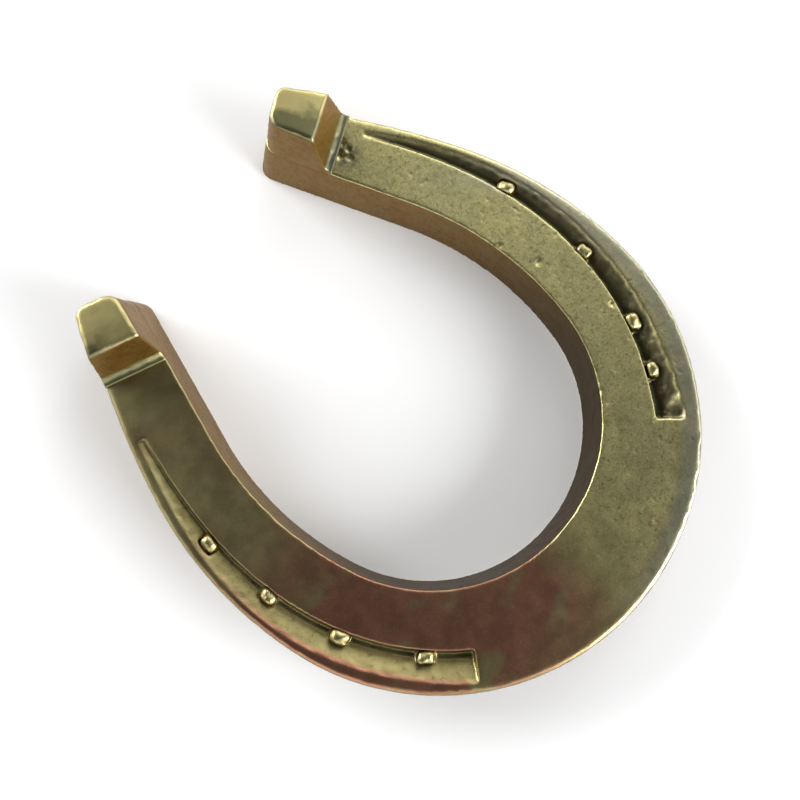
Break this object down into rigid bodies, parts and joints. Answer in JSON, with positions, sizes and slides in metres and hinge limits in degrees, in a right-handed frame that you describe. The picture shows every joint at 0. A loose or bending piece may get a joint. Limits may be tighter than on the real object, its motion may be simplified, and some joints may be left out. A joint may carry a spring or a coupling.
{
  "type": "horseshoe",
  "caption": "Solid brass horseshoe with raised block heel calks, tapered nail creases and nail heads, shown ground face up.",
  "frame": {"origin": "middle of the bounding box in plan, on the flat hoof face", "axes": "+X across the shoe, +Y from the toe towards the heels, +Z out of the ground face, so calks and creases face up"},
  "size_m": [0.1086, 0.1252, 0.0258],
  "materials": {
    "bar": "cast and polished, fine sand grain",
    "calk": "worn smooth",
    "nail": "worn bright"
  },
  "bodies": {
    "root": {"shoe_bar": "bar", "heel_calk_right": "calk", "heel_calk_left": "calk", "nail_right_1": "nail", "nail_right_2": "nail", "nail_right_3": "nail", "nail_right_4": "nail", "nail_left_1": "nail", "nail_left_2": "nail", "nail_left_3": "nail", "nail_left_4": "nail"}
  },
  "joints": []
}
